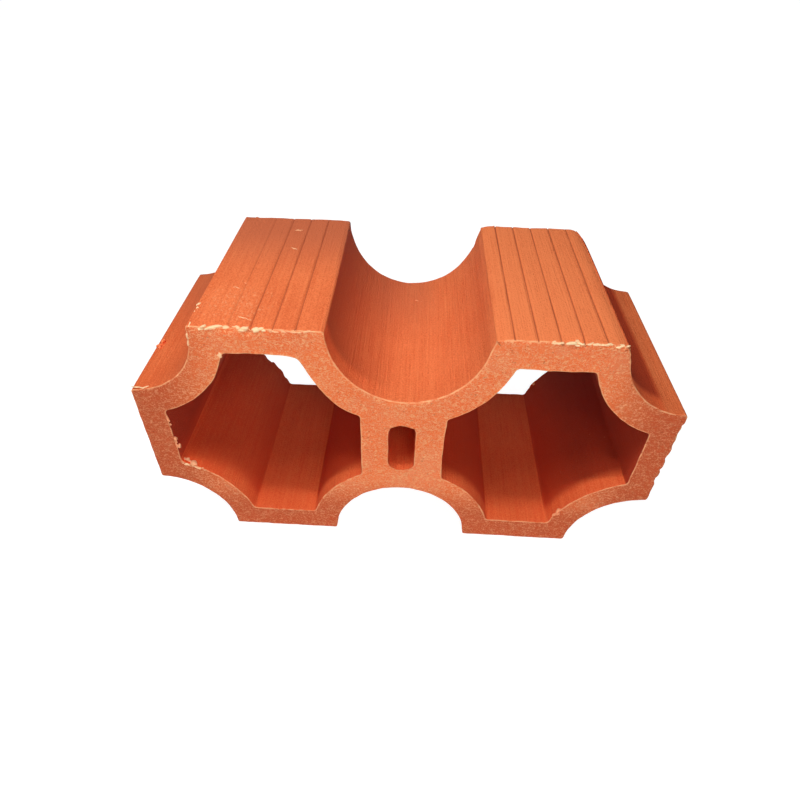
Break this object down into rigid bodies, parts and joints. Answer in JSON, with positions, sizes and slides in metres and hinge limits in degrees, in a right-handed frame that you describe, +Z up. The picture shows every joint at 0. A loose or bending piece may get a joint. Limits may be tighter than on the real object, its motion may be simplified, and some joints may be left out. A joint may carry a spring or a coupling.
{
  "type": "terracotta breeze block",
  "caption": "Hollow extruded clay screen block of paired octagon-like cells with half-round troughs, notched corners, a slotted web and scored upper beds, for open garden and ventilation walls.",
  "frame": {"origin": "middle of the base, on the plane of the two lower bed faces", "axes": "+X across the two cells, +Y along the extrusion from the front cut face to the back one, +Z up"},
  "size_m": [0.2, 0.09, 0.1],
  "materials": {
    "terracotta": "matt unglazed fired clay, smooth drawn faces and rough wire-cut ends"
  },
  "bodies": {
    "root": {"block": "terracotta"}
  },
  "joints": []
}
